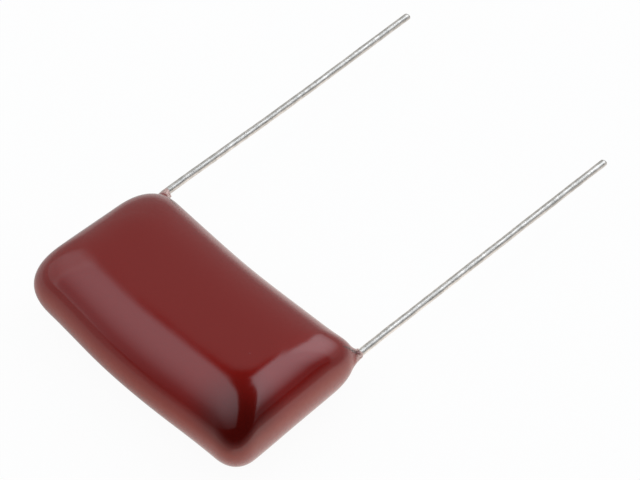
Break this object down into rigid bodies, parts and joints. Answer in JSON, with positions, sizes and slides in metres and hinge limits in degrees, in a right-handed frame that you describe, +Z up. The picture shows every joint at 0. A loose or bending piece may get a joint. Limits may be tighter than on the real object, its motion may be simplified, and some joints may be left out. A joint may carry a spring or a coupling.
{
  "type": "dipped film capacitor",
  "caption": "Flattened film roll in a glossy red-brown dipped resin coat, with straight tinned wire leads along one side, lying on its broad face.",
  "frame": {"origin": "on the flat underside, below the middle of the roll and midway between the leads", "axes": "+X along the lead spacing, +Y the way the leads point, +Z up through the thickness"},
  "size_m": [0.0304, 0.0544, 0.0089],
  "materials": {
    "coat": "glossy dipped epoxy resin",
    "film": "metallised plastic film, wound and flattened",
    "wrap": "clear blank film turns",
    "spray": "matte sprayed zinc",
    "solder": "satin solder",
    "lead": "hot-tinned copper-clad steel wire"
  },
  "bodies": {
    "root": {"epoxy_coat": "coat", "film_roll": "film", "outer_wrap": "wrap", "end_spray_left": "spray", "end_spray_right": "spray", "solder_left": "solder", "solder_right": "solder", "lead_left": "lead", "lead_right": "lead"}
  },
  "joints": []
}
